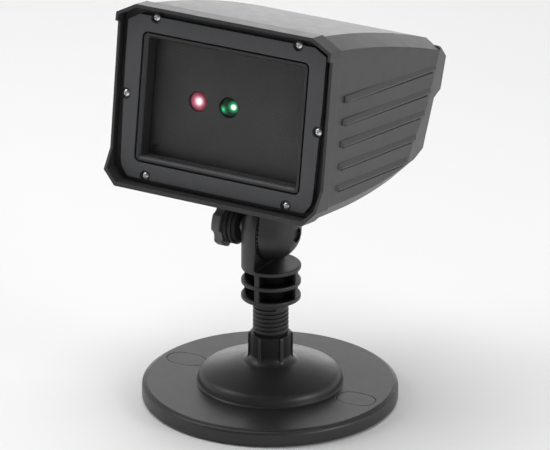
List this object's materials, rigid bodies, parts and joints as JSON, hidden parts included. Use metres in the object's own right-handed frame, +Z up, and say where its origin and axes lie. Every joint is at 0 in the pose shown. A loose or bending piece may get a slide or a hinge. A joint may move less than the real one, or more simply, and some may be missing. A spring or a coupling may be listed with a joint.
{
  "type": "light projector",
  "caption": "Hooded outdoor light projector with a deep window, tilting on a serrated clamp knuckle above a post that turns in a weighted disc base.",
  "frame": {"origin": "centre of the underside of the disc base", "axes": "+Z up; the window faces -Y at rest; the clamp knob is on -X and the bolt head on +X"},
  "size_m": [0.15, 0.1703, 0.2489],
  "materials": {
    "base_plastic": "satin black moulded plastic",
    "post_plastic": "satin black glass-filled nylon",
    "knob_plastic": "satin black moulded plastic",
    "shell_plastic": "fine-grained black moulded plastic",
    "bezel_plastic": "spark-textured charcoal moulded plastic",
    "frame_plastic": "satin black moulded plastic",
    "panel_plastic": "matt black moulded plastic",
    "inlet_plastic": "semi-gloss black moulded plastic",
    "clear_glass": "clear float glass",
    "lens_red": "clear grating lens lit red",
    "lens_green": "dark grating lens lit green",
    "seal_rubber": "black silicone rubber",
    "foam_rubber": "black closed-cell foam",
    "screw_chrome": "bright nickel-plated steel",
    "zinc_steel": "zinc-plated steel",
    "black_steel": "black oxide steel",
    "weight_iron": "as-cast iron ring",
    "insert_brass": "turned brass",
    "module_brass": "turned brass barrel",
    "sink_aluminium": "extruded aluminium",
    "board_green": "solder-masked glass-epoxy board",
    "chip_black": "moulded epoxy packages",
    "capacitor_sleeve": "dark sleeved cans",
    "terminal_green": "moulded terminal block",
    "sensor_face": "clear-coated photocell",
    "wire_red": "vinyl-insulated wire",
    "wire_black": "vinyl-insulated wire"
  },
  "bodies": {
    "base": {"base_shell": "base_plastic", "base_bottom_plate": "base_plastic", "base_weight": "weight_iron", "base_foot_pad": "foam_rubber", "base_screws": "zinc_steel"},
    "stem": {"post": "post_plastic", "post_washer": "zinc_steel", "post_screw": "zinc_steel"},
    "washer": {"clamp_washer": "zinc_steel"},
    "knob": {"knob_grip": "knob_plastic", "knob_insert": "insert_brass"},
    "head": {"bezel_gasket": "seal_rubber", "bezel_screws": "screw_chrome", "board_capacitors": "capacitor_sleeve", "board_chips": "chip_black", "board_screws": "zinc_steel", "board_terminal": "terminal_green", "bracket_screws": "zinc_steel", "circuit_board": "board_green", "front_bezel": "bezel_plastic", "glass_gasket": "seal_rubber", "green_laser": "module_brass", "green_lens": "lens_green", "housing_body": "shell_plastic", "inlet_nut": "inlet_plastic", "inner_panel": "panel_plastic", "laser_bracket": "sink_aluminium", "laser_wires": "wire_black", "light_sensor": "sensor_face", "neck_screws": "zinc_steel", "panel_screws": "zinc_steel", "pivot_bolt": "black_steel", "power_inlet": "inlet_plastic", "rear_cover": "shell_plastic", "rear_cover_screws": "screw_chrome", "rear_gasket": "seal_rubber", "red_laser": "module_brass", "red_lens": "lens_red", "sensor_wires": "wire_black", "supply_wires": "wire_red", "tilt_neck": "post_plastic", "top_cover": "shell_plastic", "window_frame": "frame_plastic", "window_glass": "clear_glass"}
  },
  "joints": [
    {"name": "pan", "type": "hinge", "parent": "base", "child": "stem", "pos_m": [0, 0, 0.0408], "axis": [0, 0, 1], "continuous": true},
    {"name": "tilt", "type": "hinge", "parent": "stem", "child": "head", "pos_m": [0, 0, 0.1045], "axis": [1, 0, 0], "range_deg": [-75, 75]},
    {"name": "knob_travel", "type": "slide", "parent": "stem", "child": "washer", "axis": [-1, 0, 0], "range_m": [0, 0.0016]},
    {"name": "knob_turn", "type": "hinge", "parent": "washer", "child": "knob", "pos_m": [-0.0176, 0, 0.1045], "axis": [-1, 0, 0], "range_deg": [0, 721]}
  ],
  "couplings": [
    {"joint": "knob_turn", "follows": "knob_travel", "rad_per_m": 7854}
  ]
}
